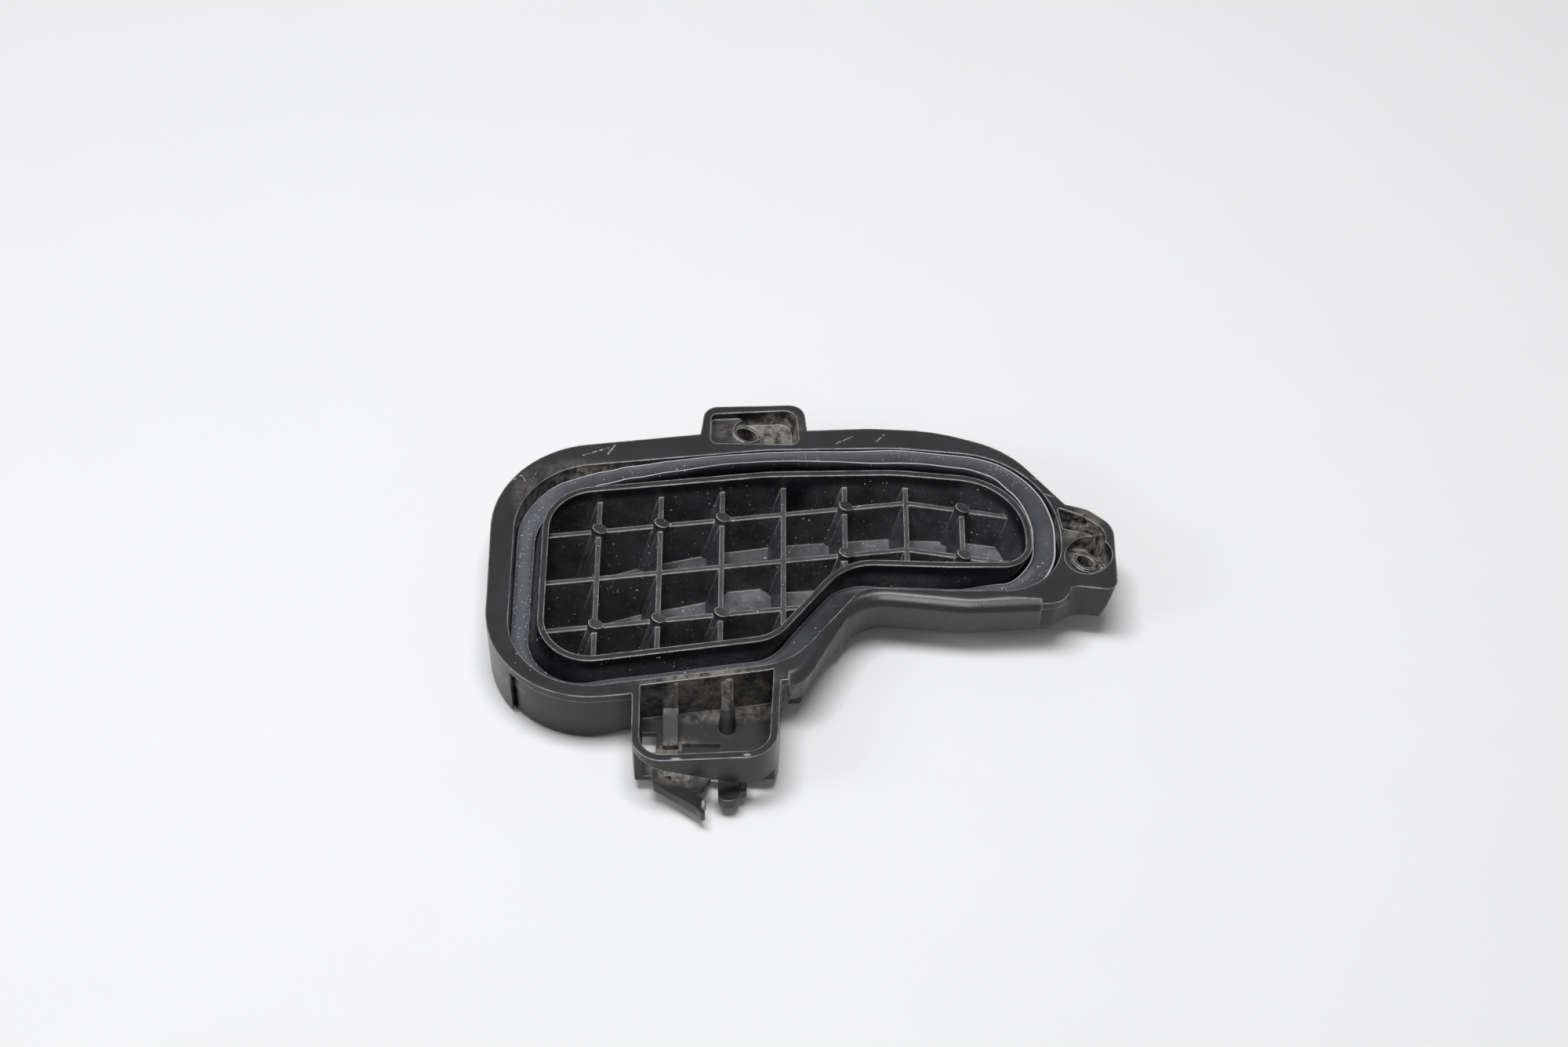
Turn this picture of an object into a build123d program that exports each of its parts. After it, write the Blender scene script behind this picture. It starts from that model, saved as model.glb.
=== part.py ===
from build123d import *
from math import cos, sin, tan, radians
import os

os.makedirs("parts", exist_ok=True)

# Rear access cover of a vehicle headlamp, with its rubber seal. The sealing flange is drawn
# level at Z = 0, open side up, X along the cover and Y towards the rear lug. Outer walls that
# face left or front stand square to the flange. All others, with the ribs, pockets and screw
# holes, follow one tilted mould opening direction.

# ---------------------------------------------------------------- driving sizes, millimetres
left = 88.4                 # reach of the flange from the cover's datum, each way
right = 88.8
front = 67.8                # beside the latch box
shallow = 30.8              # front of the narrow end
back = 37.4
waist = 22.0                # where the wide part ends
rear_lug_x = -11.5          # screw of the rear lug
rear_lug_out = 0.6          # past the flange's back edge
right_lug_y = -12.9         # screw of the right lug
right_lug_out = 2.0         # past the flange's right end
latch_x = -23.2             # middle of the latch box
latch_out = 19.0            # the box stands out of the front

pull_tilt = 24.5            # lean of the mould opening direction from the flange's normal
pull_turn = 41.0            # the way it leans, in degrees from X
wall = 2.0                  # general wall of the moulding

flange_thick = 2.9          # lip of the flange
skirt_inset = 1.3           # skirt stands back from the flange's edge
flush_end = 7.6             # but is flush with it at the left end
shoulder = 3.6              # rounding of the flange along the waist
shoulder_start = 20.5       # left of the waist
shoulder_end = 12.0         # short of the right end
waist_draft = 8.5           # the wall under it leans in, degrees
foot_radius = 1.2
foot_bend = 30.0            # gentle bends of the foot's line
beside_foot = 12.6          # the skirt is cut short beside the latch box

band_left = 15.2            # flange's edge to the ring
band_front = 14.2
band_back = 16.5
channel_width = 8.7         # seal channel, between ring and flange
channel_depth = 11.4
channel_floor = 2.2         # web under the channel
ring_wall = 1.9             # upstanding ring inside the channel

seal_gap = 0.25             # seal to the ring and to the channel's outer side
seal_slip = 1.4             # along the back it has slipped off the ring
seal_top = 7.6              # flange down to the seal
seal_height = 3.7
seal_rise = 5.4             # it has sprung up along the back

rib_thick = 1.5
rib_drop = 4.4              # ring top down to the rib tops
rib_pitch = 18.75
rib_start = 32.0            # left end of the flange to the first cross rib
rib_count = 6
short_rib_step = 17.0       # the last, short rib stands a little closer
row_pitch = 17.95
row_first = 7.05            # Y of the rear row at X = 0
row_slope = 6.7             # the rows climb to the right, degrees
row_bend = -9.7             # and fall again past the sixth cross rib
pad_width = 4.6
pad_lift = 1.15             # pad centre above the rib tops
dome_width = 19.0           # round rise in the pan's floor
dome_x = -11.3
dome_y = -23.5
dome_top = 13.4

screw_hole = 5.6            # right lug
screw_rim = 8.4             # raised rim round the hole
screw_seat = 13.5           # sunk seat for the screw's head
seat_depth = 3.0
rim_lift = 0.8
screw_bore = 7.0            # length of the hole, with its rim
right_pocket_depth = 9.0
rear_hole = 6.8             # rear lug
rear_rim = 9.2
rear_seat = 3.6
rear_bore = 5.0             # length of the hole's wall
rear_shelf = 2.2            # step beside the hole
rear_pocket_depth = 5.0
rear_lug_height = 13.0
lug_wall = 2.3
box_floor = 17.0            # rim of the latch box down to its floor plate
boss_width = 11.6           # round boss in front of the latch box

# ---------------------------------------------------------------- mould opening direction
lean = radians(pull_tilt)
turn = radians(pull_turn)
pull = Vector(sin(lean) * cos(turn), sin(lean) * sin(turn), cos(lean))
far = 150.0                 # beyond the whole cover
deep = 50.0                 # below the whole cover
spare = 5.0                 # blocks that are trimmed start this much too tall


def outline(corners):
    """Closed level face from corner points, each (x, y, radius)."""
    points = [(x, y) for x, y, radius in corners]
    radii = [radius for x, y, radius in corners]
    return make_face(FilletPolyline(*points, radius=radii, close=True))


def sink(face, top, bottom):
    """Prism of a face drawn at Z = 0, carried down the mould opening direction."""
    start = pull * (top / pull.Z)
    return extrude(face.moved(Location(start)), amount=(top - bottom) / pull.Z, dir=-pull)


def upright(face, top, bottom):
    return extrude(Pos(0, 0, top) * face, amount=top - bottom, dir=(0, 0, -1))


def slab(top, bottom):
    return Pos(0, 0, (top + bottom) / 2) * Box(2 * far, 2 * far, top - bottom)


def drafted(face, top, bottom):
    """Block whose left and front walls are upright while the others follow the mould."""
    both = upright(face, top + spare, bottom) & sink(face, top + spare, bottom - spare)
    return both & slab(top, bottom)


def across(x, y, z):
    """Place on a plane square to the mould opening direction."""
    return Location(Plane(origin=(x, y, z), z_dir=pull))


def above(line):
    """Everything over a floor line that runs along X."""
    rest = Polyline(line @ 1, (far, 0, deep), (-far, 0, deep), line @ 0)
    return extrude(make_face(line + rest), amount=far, both=True)


def quarter(x, y):
    """Tall block from a corner point out past the cover, to the right and front."""
    return Pos(x + far / 2, y - far / 2, 0) * Box(far, far, 2 * deep)


def strip(start, end, thick):
    """Level face of a straight rib between two points."""
    middle = ((start[0] + end[0]) / 2, (start[1] + end[1]) / 2)
    along = Vector(end[0] - start[0], end[1] - start[1])
    turned = Vector(1, 0).get_signed_angle(along, Vector(0, 0, 1))
    return Pos(*middle) * Rot(0, 0, turned) * Rectangle(along.length, thick)


# ---------------------------------------------------------------- outlines in the flange plane
ring_left = band_left - left
ring_right = right - band_front
ring_front = band_front - front
ring_waist = band_front - shallow
ring_back = back - band_back

flange_face = outline([
    (-left, -front, 32), (waist - 15.5, 10.5 - front, 12), (waist, 3.2 - shallow, 14),
    (55.0, -0.6 - shallow, 30), (right - 3.4, 0.8 - shallow, 7), (right, 3.5, 10),
    (right - 20.3, back - 8.4, 34), (46.0, back - 1.0, 60), (26.0, back, 60),
    (-26.0, back - 2.2, 90), (-left - 1.0, back - 9.8, 32),
])
ring_face = outline([
    (ring_left, ring_front, 16), (waist - 24.4, ring_front + 10.2, 14),
    (waist - 2.9, ring_waist + 1.2, 17), (50.0, ring_waist, 40), (ring_right + 0.8, ring_waist, 9),
    (ring_right, ring_back - 4.3, 24), (34.0, ring_back, 60), (-5.0, ring_back - 0.7, 60),
    (ring_left, ring_back - 8.1, 16),
])
skirt_face = offset(flange_face, -skirt_inset)
bore_face = offset(ring_face, -ring_wall)
channel_face = offset(ring_face, channel_width)

# each lug and the latch box are drawn round their own spot
rear_spot = Pos(rear_lug_x, back + rear_lug_out)
rear_lug_face = rear_spot * outline([
    (-15.1, -8.0, 0.5), (-13.1, 8.2, 4.5), (17.5, 9.0, 5), (19.5, -8.0, 0.5),
])
rear_pocket_face = rear_spot * outline([
    (-11.4, -6.4, 2.5), (-11.1, 5.4, 2), (15.1, 6.9, 4), (16.3, -7.0, 2.5),
])
rear_deep_face = rear_spot * outline([
    (-10.2, 9.0, 0.5), (-1.8, 4.8, 3), (5.2, -0.4, 3), (5.6, -11.0, 0.5), (24.0, -11.0, 1),
    (24.0, 13.0, 1),
])
right_spot = Pos(right + right_lug_out, right_lug_y)
right_lug_face = right_spot * outline([
    (-20.8, 24.9, 1), (1.7, 18.3, 9), (9.2, 11.9, 8), (9.1, -12.5, 3.2), (-3.8, -10.7, 6),
    (-11.8, -15.9, 3), (-30.8, -14.1, 1),
])
right_pocket_face = right_spot * outline([
    (-7.4, 19.1, 0.5), (-0.3, 16.1, 4), (6.8, 10.4, 6), (6.4, 4.9, 1), (1.4, 9.1, 6),
    (-6.2, 10.9, 1),
])
latch_spot = Pos(latch_x, -front - latch_out)
latch_box_face = latch_spot * outline([
    (-21.2, 36.8, 1), (-20.8, 0.0, 9), (21.2, 2.0, 9), (22.9, 41.8, 1),
])

# the skirt's foot and the pan's floor run deep on the left and rise towards the right
foot_line = FilletPolyline(
    (-far, 0, -23.4), (-58, 0, -23.4), (-44, 0, -20.4), (far, 0, -11.4), radius=foot_bend)
pan_floor = Polyline(
    (-far, 0, -20.9), (-54, 0, -20.9), (-44, 0, -18.9), (-22, 0, -16.3), (0, 0, -15.6),
    (36, 0, -16.9), (52, 0, -14.9), (far, 0, -13.6))


# ---------------------------------------------------------------- cover
def on_foot(edge):
    return edge.bounding_box().max.Z < 0 and abs((edge % 0.5).Y) < 0.999


def footed(prism):
    """Outer wall down to the sloping foot, with the foot's edge rounded."""
    block = prism & above(foot_line)
    return fillet(block.edges().filter_by(on_foot), foot_radius)


def walls(face):
    both = footed(upright(face, spare, -deep)) & footed(sink(face, spare, -deep))
    return both & slab(0, -deep)


def row_line(row, x):
    """Y of a lengthwise rib at the rib tops."""
    bend_x = rib_start - left + (rib_count - 1) * rib_pitch
    straight = row_first - row * row_pitch + tan(radians(row_slope)) * min(x, bend_x)
    return straight + tan(radians(row_bend)) * max(x - bend_x, 0)


def lattice():
    """Egg-crate ribs with round pads on ten of the crossings."""
    columns = [rib_start - left + number * rib_pitch for number in range(rib_count)]
    bend_x = columns[-1]
    short_x = bend_x + short_rib_step
    lines = [((x, -front), (x, back)) for x in columns]
    lines.append(((short_x, row_line(1, short_x)), (short_x, row_line(0, short_x))))
    for row in range(3):
        lines.append(((-far, row_line(row, -far)), (bend_x, row_line(row, bend_x))))
    for row in range(2):
        lines.append(((bend_x, row_line(row, bend_x)), (far, row_line(row, far))))
    faces = [Pos(0, 0, -rib_drop) * strip(start, end, rib_thick) for start, end in lines]
    ribs = Part() + [extrude(face, amount=deep, dir=-pull) for face in faces]
    columns.append(short_x)
    crossings = [(0, 0), (0, 1), (0, 2), (0, 4), (0, 6), (1, 4), (1, 6), (2, 0), (2, 1), (2, 2)]
    for row, column in crossings:
        x = columns[column]
        spot = across(x, row_line(row, x), -rib_drop) * Pos(0, 0, pad_lift)
        ribs += extrude(spot * Circle(pad_width / 2), amount=-deep)
    return ribs


def outer_body():
    """Skirt, flange, lugs, latch box and pan, still solid."""
    flush = walls(flange_face)
    left_end = Pos(flush_end - left - far, 0, 0) * Box(2 * far, 2 * far, 2 * deep)
    beside_latch = quarter(waist - shoulder_start, 0) - quarter(right - shoulder_end, 0)
    body = walls(skirt_face) + (flush & left_end) + (flush & beside_latch)
    body += extrude(flange_face, amount=-flange_thick)
    cap = upright(flange_face, 0, -deep)
    cap = fillet(cap.edges().group_by(Axis.Z)[-1], shoulder)
    body -= beside_latch - cap
    leaning = (0, tan(radians(waist_draft)), -1)
    outside = Pos(far / 2, -far / 2) * Rectangle(far, far) - flange_face
    body -= extrude(Pos(0, 0, -shoulder) * outside, amount=deep, dir=leaning)
    body += drafted(right_lug_face, 0, -deep) & above(foot_line)
    body += upright(latch_box_face, 0, -deep) & above(foot_line)
    body += drafted(rear_lug_face, 0, -rear_lug_height)
    body += sink(ring_face, -channel_depth, -deep) & above(pan_floor.moved(Pos(0, 0, -wall)))
    return body


body = outer_body()

# seal channel, and the hollow inside the ring
body -= drafted(channel_face, 0, -channel_depth) - sink(ring_face, 0, -channel_depth)
body -= sink(bore_face, 0, -deep) & above(pan_floor)
# trench under the channel, open downwards between the skirt and the pan
web_foot = channel_depth + channel_floor
trench_face = offset(skirt_face, -wall) - (latch_box_face - channel_face)
trench = drafted(trench_face, 0, -deep) - sink(ring_face, 0, -deep)
body -= trench & slab(-web_foot, -deep)

room = sink(offset(ring_face, -ring_wall / 2), 0, -deep)
room &= above(pan_floor.moved(Pos(0, 0, -wall / 2)))
dome = Pos(dome_x, dome_y, -dome_top - deep / 2) * Cylinder(dome_width / 2, deep)
body += (lattice() + dome) & room

# rear lug: a stepped pocket above, a screw boss and a hollow underneath
rear_pocket = drafted(rear_pocket_face, 0, -rear_pocket_depth)
body -= rear_pocket & slab(0, -rear_shelf)
body -= rear_pocket & upright(rear_deep_face, 0, -rear_pocket_depth)
rear_under = drafted(offset(rear_lug_face, -lug_wall), 0, -deep)
body -= rear_under & slab(-rear_pocket_depth - lug_wall, -deep)
rear_eye = across(rear_lug_x, back + rear_lug_out, -rear_seat)
body -= extrude(rear_eye * Circle(rear_rim / 2), amount=deep)
body += extrude(rear_eye * Circle(rear_rim / 2), amount=-rear_bore)
body -= extrude(rear_eye * Circle(rear_hole / 2), amount=deep, both=True)

# right lug: sunk screw seat, its rim and hole, and a deep hollow behind it
body -= sink(right_pocket_face, 0, -right_pocket_depth)
eye = across(right + right_lug_out, right_lug_y, -seat_depth)
body -= extrude(eye * Circle(screw_seat / 2), amount=deep)
body += extrude(eye * Circle(screw_rim / 2), amount=rim_lift)
body -= extrude(eye * Circle(screw_hole / 2), amount=deep, both=True)
body -= extrude(eye * Pos(0, 0, rim_lift - screw_bore) * Circle(screw_rim / 2), amount=-deep)


def latch_web(x, thick, profile):
    """Stiffener on the latch box's back wall, from its front line of (y, z) points."""
    under = -box_floor - wall
    corners = profile + [(profile[-1][0], under), (profile[0][0], under)]
    side = make_face(Polyline(*[(x, y, z) for y, z in corners], close=True))
    web = extrude(side, amount=thick / 2, both=True, dir=(1, 0, 0))
    return latch_spot * web - sink(channel_face, 0, -deep)


def plate(corners, top):
    return latch_spot * upright(outline(corners), -top, -box_floor - wall)


# latch box on the front, open at the top, with a floor plate and upright stiffeners
pocket_face = offset(latch_box_face, -lug_wall) - offset(ring_face, channel_width + wall)
body -= upright(pocket_face, 0, -box_floor)
body -= upright(latch_box_face - skirt_face, -box_floor - wall, -deep)
body += latch_web(-10.2, 4.6, [(34.8, -1), (28.2, -1), (26.3, -11), (15.8, -15)])
body += latch_web(6.6, 3.4, [(36.8, -2), (30.8, -2), (22.8, -15)])
column = [Pos(7.0, 31.4, -2) * Circle(1.2), Pos(6.4, 23.2, -box_floor) * Circle(2.6)]
body += latch_spot * loft(column)
body -= latch_spot * Pos(-16.6, 18.2, -box_floor) * Box(4.2, 6.8, 3 * wall)
body -= latch_spot * Pos(-1.1, 13.6, -box_floor) * Box(11.4, 8.4, 3 * wall)
# the front wall grows from left to right, and below it the box is open
low_front = Polyline(
    (-far, 6.4, -3.0), (-17.4, 6.4, -3.0), (8.2, 6.4, -12.7), (far, 6.4, -12.7),
    (far, 6.4, -deep), (-far, 6.4, -deep), close=True)
body -= latch_spot * extrude(make_face(low_front), amount=deep, dir=(0, -1, 0))
# the skirt stops short between the box and the waist
short = Pos(waist - 13.15, -front, -beside_foot - deep / 2) * Box(18.3, 28.0, deep)
body -= short
# what is left of the latch: a round boss, a snapped leaf and two stubs
body += latch_spot * Pos(-4.1, 6.6, -box_floor - wall / 2) * Cylinder(boss_width / 2, wall)
body += plate([
    (-15.2, 8.8, 0.3), (-15.0, 2.9, 0.3), (-2.2, -5.8, 0.3), (-0.6, -7.8, 0.3), (0.4, -7.2, 0.3),
    (-0.2, -5.4, 0.3), (0.6, -3.6, 0.3), (-1.0, -1.6, 0.3), (-12.4, 6.0, 0.3), (-12.2, 8.8, 0.3),
], 15.6)
body += plate([(4.0, 8.8, 0.5), (4.0, -3.4, 2.4), (10.4, -3.2, 2.8), (10.6, 8.8, 0.5)], 15.4)
body += plate([(10.2, 8.8, 0.3), (10.2, -0.1, 0.3), (12.3, 0.6, 0.3), (12.3, 8.8, 0.3)], 16.4)

# ---------------------------------------------------------------- seal
seal_hole = offset(ring_face, seal_gap)
seal_hole += Pos(0, seal_slip) * seal_hole
band = drafted(offset(ring_face, channel_width - seal_gap), 0, -channel_depth)
band -= sink(seal_hole, 0, -channel_depth)
level = Line((-far, 0, -seal_top), (far, 0, -seal_top))
rise = [
    (ring_left - 1, 0), (ring_left + 11, 0.12), (-40, 0.75), (-22, 0.97), (0, 1), (30, 0.93),
    (52, 0.6), (ring_right - 6, 0.06), (ring_right - 1, 0),
]
crest = Spline(*[(x, 0, seal_rise * part - seal_top) for x, part in rise],
               tangents=[(1, 0, 0), (1, 0, 0)])
sprung = Line((-far, 0, -seal_top), crest @ 0) + crest + Line(crest @ 1, (far, 0, -seal_top))


def layer(line):
    """Slab of the seal's height under a line along X."""
    return above(line.moved(Pos(0, 0, -seal_height))) - above(line)


rear_half = Pos(0, far / 2, 0) * Box(3 * far, far, 2 * deep)
seal = ((band & layer(level)) - rear_half) + (band & rear_half & layer(sprung))

# ---------------------------------------------------------------- into the shared frame
box = Compound([body, seal]).bounding_box()
home = Pos(-box.center().X, -box.center().Y, -box.min.Z)
export_step(home * body, "parts/headlamp_cover.step")
export_step(home * seal, "parts/seal_ring.step")
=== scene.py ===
import math

import bpy
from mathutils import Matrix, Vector


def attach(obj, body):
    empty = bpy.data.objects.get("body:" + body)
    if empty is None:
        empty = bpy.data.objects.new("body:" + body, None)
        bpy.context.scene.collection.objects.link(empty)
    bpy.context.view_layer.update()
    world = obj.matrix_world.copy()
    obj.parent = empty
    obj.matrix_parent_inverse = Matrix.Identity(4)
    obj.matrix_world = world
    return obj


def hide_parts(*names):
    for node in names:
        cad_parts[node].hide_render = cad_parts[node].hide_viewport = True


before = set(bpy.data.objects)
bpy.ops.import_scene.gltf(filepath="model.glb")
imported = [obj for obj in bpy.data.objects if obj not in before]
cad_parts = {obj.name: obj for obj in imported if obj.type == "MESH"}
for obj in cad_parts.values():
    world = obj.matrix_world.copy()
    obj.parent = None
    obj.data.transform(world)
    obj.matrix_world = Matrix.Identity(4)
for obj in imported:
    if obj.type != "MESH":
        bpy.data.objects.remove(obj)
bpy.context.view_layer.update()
print("frame loaded")

mm = 0.001
flangeHome = Vector((-5.44193, 23.8127, 23.4))  # middle of the flange plane, in mm
mouldLean = Vector((0.3130, 0.2721, 0.9100))    # the way the inner walls lean


def newMaterial(name):
    material = bpy.data.materials.new(name)
    material.use_nodes = True
    tree = material.node_tree
    shader = next(n for n in tree.nodes if n.type == "BSDF_PRINCIPLED")
    place = tree.nodes.new("ShaderNodeTexCoord").outputs["Object"]
    return material, tree, shader, place


# a socket is linked, a plain value is set
def link(tree, source, target):
    if isinstance(source, bpy.types.NodeSocket):
        tree.links.new(source, target)
    else:
        target.default_value = source


def calc(tree, kind, a, b=0.0, c=0.0, clamp=False):
    node = tree.nodes.new("ShaderNodeMath")
    node.operation = kind
    node.use_clamp = clamp
    for value, socket in zip((a, b, c), node.inputs):
        link(tree, value, socket)
    return node.outputs[0]


def times(tree, first, *others):
    for other in others:
        first = calc(tree, "MULTIPLY", first, other)
    return first


def largest(tree, first, *others):
    for other in others:
        first = calc(tree, "MAXIMUM", first, other)
    return first


def vectorMath(tree, kind, a, b=(0, 0, 0), scale=None):
    node = tree.nodes.new("ShaderNodeVectorMath")
    node.operation = kind
    link(tree, a, node.inputs[0])
    link(tree, b, node.inputs[1])
    if scale is not None:
        link(tree, scale, node.inputs["Scale"])
    return node.outputs["Value" if kind in ("LENGTH", "DOT_PRODUCT") else "Vector"]


def upOf(tree, vector):
    node = tree.nodes.new("ShaderNodeSeparateXYZ")
    link(tree, vector, node.inputs[0])
    return node.outputs["Z"]


def ramp(tree, value, low, high, outLow=0.0, outHigh=1.0):
    node = tree.nodes.new("ShaderNodeMapRange")
    node.interpolation_type = "SMOOTHSTEP"
    for socket, amount in zip(node.inputs, (value, low, high, outLow, outHigh)):
        link(tree, amount, socket)
    return node.outputs[0]


def noise(tree, place, scale, detail=3.0, rough=0.5):
    node = tree.nodes.new("ShaderNodeTexNoise")
    link(tree, place, node.inputs["Vector"])
    node.inputs["Scale"].default_value = scale
    node.inputs["Detail"].default_value = detail
    node.inputs["Roughness"].default_value = rough
    return node.outputs["Fac"]


# noise faded between two of its levels
def cloud(tree, place, scale, detail, rough, *levels):
    return ramp(tree, noise(tree, place, scale, detail, rough), *levels)


def mixColour(tree, amount, a, b):
    node = tree.nodes.new("ShaderNodeMix")
    node.data_type = "RGBA"
    link(tree, amount, node.inputs[0])
    link(tree, a, node.inputs[6])
    link(tree, b, node.inputs[7])
    return node.outputs[2]


def fineBump(tree, shader, strength, depth, height, normal=None):
    bump = tree.nodes.new("ShaderNodeBump")
    bump.inputs["Strength"].default_value = strength
    bump.inputs["Distance"].default_value = depth * mm
    link(tree, height, bump.inputs["Height"])
    if normal is not None:
        link(tree, normal, bump.inputs["Normal"])
    link(tree, bump.outputs[0], shader.inputs["Normal"])


# flange millimetres to shared metres
def inFrame(point):
    return (Vector(point) + flangeHome) * mm


# 1 inside an ellipsoid, fading out at its edge
def zone(tree, place, middle, size, soft=0.35):
    away = vectorMath(tree, "SUBTRACT", place, tuple(inFrame(middle)))
    away = vectorMath(tree, "DIVIDE", away, tuple(Vector(size) * mm))
    return ramp(tree, vectorMath(tree, "LENGTH", away), 1.0 + soft, 1.0 - soft)


def zones(tree, place, items, soft=0.35):
    return largest(tree, *[zone(tree, place, *item, soft=soft) for item in items])


# 1 along a line between two points, fading over the outer part of its width
def scratch(tree, place, start, end, width, core=0.35):
    a, b = inFrame(start), inFrame(end)
    along = b - a
    rel = vectorMath(tree, "SUBTRACT", place, tuple(a))
    part = vectorMath(tree, "DOT_PRODUCT", rel, tuple(along / along.length_squared))
    part = calc(tree, "MINIMUM", calc(tree, "MAXIMUM", part, 0.0), 1.0)
    onLine = vectorMath(tree, "SCALE", tuple(along), scale=part)
    away = vectorMath(tree, "LENGTH", vectorMath(tree, "SUBTRACT", rel, onLine))
    return ramp(tree, away, width * mm, width * mm * core)


# scattered grains: one in some of the cells, each of its own size
def specks(tree, place, scale, size, share):
    node = tree.nodes.new("ShaderNodeTexVoronoi")
    link(tree, place, node.inputs["Vector"])
    node.inputs["Scale"].default_value = scale
    split = tree.nodes.new("ShaderNodeSeparateColor")
    link(tree, node.outputs["Color"], split.inputs[0])
    radius = calc(tree, "MULTIPLY", split.outputs[1], size)
    grain = calc(tree, "LESS_THAN", node.outputs["Distance"], radius)
    chosen = calc(tree, "LESS_THAN", split.outputs[0], share)
    return calc(tree, "MULTIPLY", grain, chosen)


# black plastic of the cover. places and reaches are in mm from the middle of the flange
plasticLook = {
    "dark": (0.0045, 0.0043, 0.0058, 1),
    "rubbed": (0.0110, 0.0104, 0.0132, 1),
    "film": (0.235, 0.225, 0.240, 1),       # grey dust lying in the pan
    "dust": (0.30, 0.275, 0.240, 1),        # brown-grey dirt in the pockets
    "speck": (0.80, 0.80, 0.82, 1),
    "whitened": (0.66, 0.66, 0.67, 1),
    # pale tint of the edges: a painted highlight, and wear
    "edgeShineAndWear": (0.60, 0.60, 0.62, 1),
    "roughness": 0.21,                      # of the clean plastic, before its clouds
    "roughCloud": 0.14,
    "roughDirt": 0.8,
    "roughDull": 0.62,
    "gloss": 0.40,
    "bump": (0.3, 0.05),                    # strength, and depth in mm
    "bumpScale": 1500,
    "speckBump": 2.0,
    # clouds: scale per metre, detail, rough, the levels they fade between
    "mottle": (70, 5, 0.6, 0.35, 0.75),
    "filmCloud": (120, 6, 0.65, 0.30, 0.72),
    "dirtCloud": (300, 6, 0.7, 0.36, 0.64),
    "speckCloud": (38, 3, 0.6, 0.36, 0.62),
    "markCloud": (1300, 4, 0.7, 0.44, 0.58),
    "edgeCloud": (190, 4, 0.65, 0.34, 0.64, 0.28, 0.95),
    "sheenCloud": (140, 4, 0.6),
    # grains: cells per metre, largest size in a cell, share of the cells that hold one
    "coarseGrains": (520, 0.20, 0.28),
    "fineGrains": (1000, 0.24, 0.28),
    "dirtGrains": (1500, 0.34, 0.40),
    "fleckGrains": (700, 0.22, 0.22),
    "cleanGrains": 0.12,                    # share of the grains that clean places keep
    # how much of the plastic each kind of dirt or wear hides
    "thinFilm": 0.09,
    "cloudyFilm": 0.16,
    "thickFilm": 0.42,
    "dirtCover": 0.72,
    "grainCover": 0.8,
    "markCover": 0.55,
    "whiteCover": 0.8,
    # edges: rounding in mm, samples, and how far the rounded normal turns where they are painted
    # pale
    "edgeRadius": 0.70,
    "edgeSamples": 6,
    "edgeTurn": (0.985, 0.84),
    # heights in metres above the table, and the amounts there
    "filmHeights": (0.0215, 0.0185),
    "grainHeights": (0.0233, 0.0215, 0.15, 0.9),
    "edgeHeights": (0.010, 0.0225, 0.15, 1.0),
    "levelFacing": (0.72, 0.96),            # how far a face looks up where the film is thick
    "basin": [                              # room inside the flange: middle, reach
        ((-32, -18, -12), (54, 41, 60)),
        ((40, 2, -12), (45, 21, 60)),
    ],
    "filmZones": [                          # where the dust film is thick
        ((-11, -23, -14), (11, 11, 5)),
        ((-15, -38, -16), (26, 12, 8)),
        ((12, -12, -16), (14, 12, 8)),
        ((40, 10, -16), (22, 10, 8)),
        ((60, -4, -14), (16, 14, 8)),
        ((-38, -20, -18), (12, 20, 6)),
        ((-60, -44, -20), (16, 12, 6)),
    ],
    "dirtZones": [                          # latch box, both lugs, outer wall of the channel
        ((-24, -57, -9), (26, 5, 12)),
        ((-31, -76, -17), (9, 8, 4)),
        ((-1, 38, -4), (8, 8, 5)),
        ((-14, 38, -5), (12, 7, 3)),
        ((90, -1, -5), (9, 9, 6)),
        ((91, -12, -4), (7, 7, 3)),
        ((92, -6, -5), (7, 4, 5)),
        ((-62, 21, -4), (22, 6, 4)),
        ((-79, 12, -5), (6, 13, 5)),
        ((-79, -30, -10), (6, 24, 3)),
    ],
    "dullZones": [                          # inside of the latch box
        ((-24, -66, -12), (21, 20, 11)),
    ],
    "whiteZones": [                         # stress marks where the plastic was bent or snapped
        ((-23.4, -91.0, -16), (0.5, 1.6, 3)),
        ((-31.0, -85.6, 0), (1.4, 0.4, 0.5)),
        ((-10.6, -84.2, 0), (1.0, 0.4, 0.5)),
    ],
    "scuffs": [                             # start, end, width
        ((-84.5, 16.0, 0), (-80.6, 18.9, 0), 0.26),
        ((-80.6, 18.9, 0), (-79.4, 16.6, 0), 0.26),
        ((-77.0, 18.0, 0), (-76.0, 20.4, 0), 0.22),
        ((-62.0, 26.8, 0), (-54.0, 29.8, 0), 0.34),
        ((-54.4, 27.2, 0), (-52.4, 30.8, 0), 0.40),
        ((15.8, 31.2, 0), (21.6, 34.4, 0), 0.26),
        ((28.2, 31.6, 0), (31.0, 35.0, 0), 0.30),
        ((76.2, 17.8, 0), (82.4, 14.2, 0), 0.22),
        ((79.4, 11.6, 0), (82.6, 10.2, 0), 0.22),
        ((-83.0, -52.0, -2.5), (-79.0, -55.0, -21), 0.35),  # crease down the front left
    ],
    "flecks": ((-80, -48, 0), (14, 22, 3)),  # white flecks along the front left of the flange
}


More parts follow.
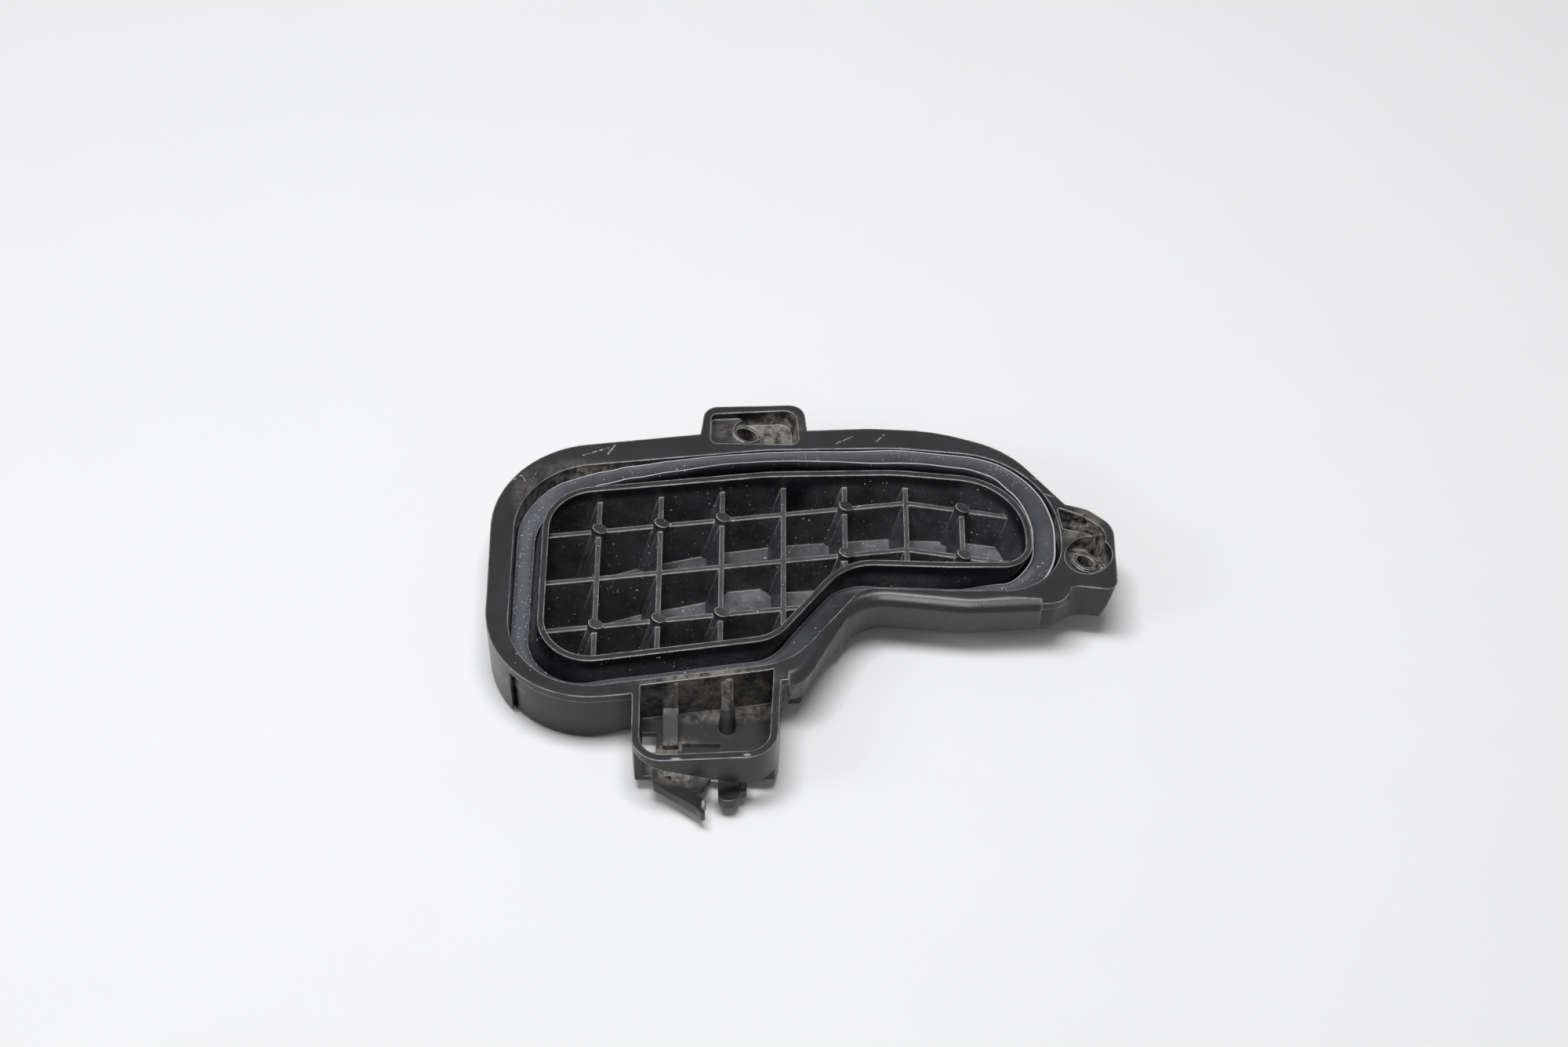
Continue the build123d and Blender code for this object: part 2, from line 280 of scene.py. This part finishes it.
def blackPlastic(look, name):
    material, tree, shader, place = newMaterial(name)
    surface = tree.nodes.new("ShaderNodeNewGeometry").outputs
    height = upOf(tree, place)
    level = ramp(tree, upOf(tree, surface["Normal"]), *look["levelFacing"])
    inside = zones(tree, place, look["basin"], soft=0.06)
    inBasin = times(tree, ramp(tree, height, *look["filmHeights"]), inside)

    mottle = cloud(tree, place, *look["mottle"])
    colour = mixColour(tree, mottle, look["dark"], look["rubbed"])

    # dust film in the pan, thick on what lies level and thin elsewhere
    cloudy = cloud(tree, place, *look["filmCloud"])
    thick = times(tree, zones(tree, place, look["filmZones"], soft=0.6), cloudy, level)
    thin = calc(tree, "MULTIPLY_ADD", cloudy, look["cloudyFilm"], look["thinFilm"])
    film = times(tree, calc(tree, "MULTIPLY_ADD", thick, look["thickFilm"], thin), inBasin)
    colour = mixColour(tree, film, colour, look["film"])

    # dirt in the pockets
    patchy = cloud(tree, place, *look["dirtCloud"])
    dirt = times(tree, zones(tree, place, look["dirtZones"]), patchy)
    colour = mixColour(tree, times(tree, dirt, look["dirtCover"]), colour, look["dust"])
    soiled = calc(tree, "ADD", dirt, film, clamp=True)

    # pale grains, most of them where it is dirty, and the flecks at the front left
    coarse = specks(tree, place, *look["coarseGrains"])
    fine = specks(tree, place, *look["fineGrains"])
    few = times(tree, largest(tree, coarse, fine), cloud(tree, place, *look["speckCloud"]))
    many = times(tree, specks(tree, place, *look["dirtGrains"]), soiled)
    amount = ramp(tree, height, *look["grainHeights"])
    amount = times(tree, amount, largest(tree, inside, dirt, look["cleanGrains"]))
    flecks = zone(tree, place, *look["flecks"])
    flecks = times(tree, flecks, specks(tree, place, *look["fleckGrains"]))
    grains = largest(tree, times(tree, largest(tree, few, many), amount), flecks)
    colour = mixColour(tree, times(tree, grains, look["grainCover"]), colour, look["speck"])

    # scuffs and whitened stress marks
    marks = largest(tree, *[scratch(tree, place, *item) for item in look["scuffs"]])
    marks = times(tree, marks, cloud(tree, place, *look["markCloud"]))
    white = times(tree, zones(tree, place, look["whiteZones"]), look["whiteCover"])
    marks = largest(tree, marks, white)
    colour = mixColour(tree, times(tree, marks, look["markCover"]), colour, look["whitened"])

    # edges are rounded, and painted pale along them: a painted highlight, and wear where the
    # cover is handled
    rounded = tree.nodes.new("ShaderNodeBevel")
    rounded.samples = look["edgeSamples"]
    rounded.inputs["Radius"].default_value = look["edgeRadius"] * mm
    roundNormal = rounded.outputs[0]
    turned = vectorMath(tree, "DOT_PRODUCT", roundNormal, surface["True Normal"])
    onEdge = ramp(tree, turned, *look["edgeTurn"])
    high = ramp(tree, height, *look["edgeHeights"])
    # painted highlight on the high edges, together with their wear
    shineAndWear = times(tree, cloud(tree, place, *look["edgeCloud"]), high, onEdge)
    colour = mixColour(tree, shineAndWear, colour, look["edgeShineAndWear"])
    link(tree, colour, shader.inputs["Base Color"])

    # satin, and rougher where dust, dirt or marks lie
    sheen = noise(tree, place, *look["sheenCloud"])
    rough = calc(tree, "MULTIPLY_ADD", sheen, look["roughCloud"], look["roughness"])
    soiledRough = times(tree, largest(tree, soiled, marks), look["roughDirt"])
    dullRough = times(tree, zones(tree, place, look["dullZones"]), look["roughDull"])
    link(tree, largest(tree, rough, soiledRough, dullRough), shader.inputs["Roughness"])
    shader.inputs["Specular IOR Level"].default_value = look["gloss"]

    raised = times(tree, grains, look["speckBump"])
    raised = calc(tree, "ADD", noise(tree, place, look["bumpScale"], 2), raised)
    raised = calc(tree, "ADD", raised, dirt)
    fineBump(tree, shader, *look["bump"], raised, roundNormal)
    return material


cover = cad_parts["headlamp_cover"]
coverPlastic = blackPlastic(plasticLook, "satinBlackPlastic")
for slot in cover.material_slots:
    slot.material = coverPlastic
print("cover dressed")


# rubber seal in the channel, lengths in mm
sealPlan = {
    "gap": 0.25,             # clear of the ring and of the channel's outer side
    "width": 7.2,
    "channel": 8.7,          # width of the channel that it lies in
    "height": 3.6,
    "wave": 0.10,            # height of its waves
    "waveTurns": (0.21, 0.5, 0.09),  # radians per mm: along x, along y, slant of the second
    "step": 1.2,             # length of one step round it
    "corners": [             # of the inner ring: x, y, radius
        (-73.2, -53.6, 16), (-2.4, -43.4, 14), (19.1, -15.4, 17), (50.0, -16.6, 40),
        (75.4, -16.6, 9), (74.6, 16.6, 24), (34.0, 20.9, 60), (-5.0, 20.2, 60),
        (-73.2, 12.8, 16),
    ],
    "lie": [                 # near x, y on the ring: height of its top, distance from the ring
        (-73, -40, -7.6, 0), (-30, -47, -7.0, 0), (10, -30, -6.6, 0), (30, -16, -7.4, 0),
        (52, -16, -7.4, 0), (66, -16, -5.4, 0.2), (73, -10, -2.6, 0.5), (74.6, 0, -1.1, 0.5),
        (70, 14, -0.7, 1.4), (62, 18, -0.5, 2.6), (54, 19.5, -0.4, 3.1), (44, 20.4, -0.4, 3.4),
        (32, 20.9, -0.3, 2.7), (15, 20.6, -0.4, 3.9), (0, 20.3, -0.4, 4.4), (-14, 19, -0.4, 4.6),
        (-35, 17, -0.5, 3.6), (-46, 15.6, -1.3, 3.2), (-55, 14.6, -2.6, 2.9),
        (-64, 13, -4.2, 1.4), (-71, 6, -5.8, 0.4), (-73, -6, -7.0, 0), (-73, -20, -7.6, 0),
    ],
    "section": [             # across from the ring, up from the foot, as shares of the size
        (0.0, 0.0), (0.0, 0.84), (0.012, 0.95), (0.035, 1.0), (0.065, 0.97), (0.10, 0.88),
        (0.20, 0.80), (0.38, 0.77), (0.56, 0.80), (0.72, 0.84), (0.86, 0.88), (0.915, 0.97),
        (0.95, 1.0), (0.985, 0.94), (1.0, 0.82), (1.0, 0.0),
    ],
    "lips": (2, 3, 11, 12),  # steps of the section on the crests of its two lips
    "base": (0.020, 0.021, 0.027, 1),
    "pale": (0.042, 0.044, 0.055, 1),
    "film": (0.150, 0.155, 0.180, 1),
    # painted highlight on the crests of the two lips
    "lip": (0.62, 0.62, 0.64, 1),
    "dust": (0.52, 0.52, 0.54, 1),
    "roughness": 0.46,
    "roughCloud": 0.15,
    "roughDust": 0.9,
    "gloss": 0.32,
    "bump": (0.4, 0.08),     # strength, and depth in mm
    "bumpScale": 1100,
    "mottle": (90, 5, 0.6, 0.35, 0.7),          # clouds and grains as for the plastic
    "dustCloud": (60, 4, 0.6, 0.44, 0.70),
    "fineGrains": (1700, 0.36, 0.5),
    "coarseGrains": (800, 0.22, 0.25),
    "dustyGrains": (1050, 0.30, 0.40),
    "grainCover": 0.75,
    "filmCover": 0.45,
    "lipHeights": (0.0160, 0.0215, 0.05, 0.8),  # metres above the table, the painted highlight paler upwards
    "dusty": ((-76, -16, -8), (12, 34, 12)),    # more dust on the left side
}


# one rounded corner: where it starts and ends, its centre and its radius
def cornerArc(before, corner, after):
    here = Vector(corner[:2])
    back = (Vector(before[:2]) - here).normalized()
    ahead = (Vector(after[:2]) - here).normalized()
    half = back.angle(ahead) / 2
    radius = corner[2]
    centre = here + (back + ahead).normalized() * radius / math.sin(half)
    start = here + back * radius / math.tan(half)
    end = here + ahead * radius / math.tan(half)
    return start, end, centre, radius


# points and outward normals round a closed line with rounded corners, counterclockwise
def roundedPath(corners, step):
    count = len(corners)
    arcs = [cornerArc(corners[k - 1], corners[k], corners[(k + 1) % count]) for k in range(count)]
    points = []
    for number, (start, end, centre, radius) in enumerate(arcs):
        first, last = start - centre, end - centre
        turned = math.atan2(first.cross(last), first.dot(last))
        steps = max(2, int(abs(turned) * radius / step))
        side = 1 if turned > 0 else -1
        base = math.atan2(first.y, first.x)
        for k in range(steps + 1):
            angle = base + turned * k / steps
            out = Vector((math.cos(angle), math.sin(angle)))
            points.append((centre + out * radius, out * side))
        run = arcs[(number + 1) % count][0] - end
        pieces = int(run.length / step)
        out = Vector((run.y, -run.x)).normalized()
        for k in range(1, pieces):
            points.append((end + run * k / pieces, out))
    return points


# height and distance from the ring at every point of the path, eased from place to place
def lieAlong(path, places):
    total = len(path)
    stops = []
    for x, y, top, away in places:
        nearest = min(range(total), key=lambda i: (path[i][0] - Vector((x, y))).length)
        stops.append((nearest, top, away))
    stops.sort()
    lie = [None] * total
    for number, (first, topA, awayA) in enumerate(stops):
        second, topB, awayB = stops[(number + 1) % len(stops)]
        run = (second - first) % total
        for k in range(run):
            part = k / run
            part = part * part * (3 - 2 * part)
            height = topA + (topB - topA) * part
            lie[(first + k) % total] = (height, awayA + (awayB - awayA) * part)
    return lie


def sealMesh(plan):
    lean = Vector((mouldLean.x, mouldLean.y)) / mouldLean.z
    path = roundedPath(plan["corners"], plan["step"])
    turnX, turnY, slant = plan["waveTurns"]
    vertices = []
    for (point, out), (height, away) in zip(path, lieAlong(path, plan["lie"])):
        wave = math.sin(point.x * turnX) + 0.5 * math.sin(point.y * turnY + point.x * slant)
        top = height + plan["wave"] * wave
        start = plan["gap"] + away
        for across, up in plan["section"]:
            depth = top - plan["height"] * (1 - up)
            slide = (lean * depth).dot(out)     # the ring's leaning side at this depth
            inner = slide + start
            limit = plan["channel"] - plan["gap"] + min(0.0, slide)
            outer = min((lean * top).dot(out) + start + plan["width"], limit)
            place = point + out * (inner + (outer - inner) * across)
            vertices.append(inFrame((place.x, place.y, depth)))
    ring = len(plan["section"])
    total = len(path)
    faces = []
    for i in range(total):
        here, ahead = i * ring, (i + 1) % total * ring
        for j in range(ring):
            k = (j + 1) % ring
            faces.append((here + j, here + k, ahead + k, ahead + j))
    mesh = bpy.data.meshes.new("rubberSeal")
    mesh.from_pydata(vertices, [], faces)
    mesh.validate()
    mesh.update()
    for polygon in mesh.polygons:
        polygon.use_smooth = True
        polygon.material_index = 1 if polygon.index % ring in plan["lips"] else 0
    return mesh


def rubber(look, name, lip):
    material, tree, shader, place = newMaterial(name)
    mottle = cloud(tree, place, *look["mottle"])
    colour = mixColour(tree, mottle, look["base"], look["pale"])
    dusty = zone(tree, place, *look["dusty"])
    colour = mixColour(tree, times(tree, dusty, look["filmCover"]), colour, look["film"])
    where = largest(tree, cloud(tree, place, *look["dustCloud"]), dusty)
    fine = times(tree, specks(tree, place, *look["fineGrains"]), where)
    coarse = specks(tree, place, *look["coarseGrains"])
    thick = times(tree, specks(tree, place, *look["dustyGrains"]), dusty)
    grains = largest(tree, fine, coarse, thick)
    colour = mixColour(tree, times(tree, grains, look["grainCover"]), colour, look["dust"])
    # lip crests painted pale as a highlight, paler upwards
    if lip:
        high = ramp(tree, upOf(tree, place), *look["lipHeights"])
        colour = mixColour(tree, high, colour, look["lip"])
    link(tree, colour, shader.inputs["Base Color"])
    rough = calc(tree, "MULTIPLY_ADD", mottle, look["roughCloud"], look["roughness"])
    rough = largest(tree, rough, times(tree, grains, look["roughDust"]))
    link(tree, rough, shader.inputs["Roughness"])
    shader.inputs["Specular IOR Level"].default_value = look["gloss"]
    raised = calc(tree, "ADD", noise(tree, place, look["bumpScale"], 3), grains)
    fineBump(tree, shader, *look["bump"], raised)
    return material


seal = bpy.data.objects.new("rubberSeal", sealMesh(sealPlan))
bpy.context.scene.collection.objects.link(seal)
seal.data.materials.append(rubber(sealPlan, "greyRubber", False))
seal.data.materials.append(rubber(sealPlan, "paintedLipHighlight", True))
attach(seal, "root")
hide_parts("seal_ring")
print("seal laid in")


# pale table top
tablePlan = {
    "half": 2.0,                            # half its side, metres
    "colour": (0.850, 0.855, 0.866, 1),
    "shade": (0.865, 0.870, 0.881, 1),
    "cloud": (30, 2),
    "roughness": 0.9,
    "gloss": 0.1,
    "glow": (0.98, 0.99, 1, 1),
    "lift": 0.03,                           # a little brighter to the camera alone
}


def paleTable(look, name):
    material, tree, shader, place = newMaterial(name)
    colour = mixColour(tree, noise(tree, place, *look["cloud"]), look["colour"], look["shade"])
    link(tree, colour, shader.inputs["Base Color"])
    shader.inputs["Roughness"].default_value = look["roughness"]
    shader.inputs["Specular IOR Level"].default_value = look["gloss"]
    shader.inputs["Emission Color"].default_value = look["glow"]
    seen = tree.nodes.new("ShaderNodeLightPath").outputs["Is Camera Ray"]
    link(tree, times(tree, seen, look["lift"]), shader.inputs["Emission Strength"])
    return material


half = tablePlan["half"]
tableMesh = bpy.data.meshes.new("tableTop")
tableCorners = [(-half, -half, 0), (half, -half, 0), (half, half, 0), (-half, half, 0)]
tableMesh.from_pydata(tableCorners, [], [(0, 1, 2, 3)])
tableMesh.materials.append(paleTable(tablePlan, "paleTable"))
table = bpy.data.objects.new("tableTop", tableMesh)
bpy.context.scene.collection.objects.link(table)
print("table laid")


# two soft lamps, and a card that only the gloss mirrors
lampPlan = {
    "overhead": {"at": (-0.08, 0.02, 1.22), "size": (0.28, 0.70), "power": 12.4, "soft": True},
    "left": {"at": (-0.95, -0.35, 0.75), "size": (0.4, 0.4), "power": 2.2, "soft": True},
    "card": {"at": (-0.05, -0.78, 0.92), "size": (0.5, 0.95), "power": 12.0, "soft": False},
}
aim = Vector((0, 0, 0.01))
for name, plan in lampPlan.items():
    light = bpy.data.lights.new(name, "AREA")
    light.shape = "RECTANGLE"
    light.size, light.size_y = plan["size"]
    light.energy = plan["power"]
    lamp = bpy.data.objects.new(name, light)
    lamp.visible_diffuse = plan["soft"]
    lamp.location = plan["at"]
    lamp.rotation_euler = (aim - lamp.location).to_track_quat("-Z", "Y").to_euler()
    bpy.context.scene.collection.objects.link(lamp)

# the room is dim for what it lights, and white for what is seen or mirrored
roomLook = {"dim": 0.15, "white": 0.92}
world = bpy.data.worlds.new("room")
bpy.context.scene.world = world
world.use_nodes = True
room = world.node_tree
ray = room.nodes.new("ShaderNodeLightPath").outputs
shown = largest(room, ray["Is Camera Ray"], ray["Is Glossy Ray"], ray["Is Transmission Ray"])
background = room.nodes["Background"]
background.inputs["Color"].default_value = (1, 1, 1, 1)
added = roomLook["white"] - roomLook["dim"]
strength = calc(room, "MULTIPLY_ADD", shown, added, roomLook["dim"])
link(room, strength, background.inputs["Strength"])
print("lamps and room lit")

# distance in metres, elevation in degrees, lens and sensor in mm
cameraPlan = {"distance": 0.9488, "elevation": 52.0, "focal": 71.73, "sensor": 36, "near": 0.01}
target = flangeHome * mm
lens = bpy.data.cameras.new("mainCamera")
lens.lens = cameraPlan["focal"]
lens.sensor_width = cameraPlan["sensor"]
lens.clip_start = cameraPlan["near"]
camera = bpy.data.objects.new("mainCamera", lens)
tilt = math.radians(cameraPlan["elevation"])
camera.location = target + Vector((0, -math.cos(tilt), math.sin(tilt))) * cameraPlan["distance"]
camera.rotation_euler = (target - camera.location).to_track_quat("-Z", "Y").to_euler()
bpy.context.scene.collection.objects.link(camera)
bpy.context.scene.camera = camera
bpy.context.scene.view_settings.view_transform = "Standard"
print("stage set")
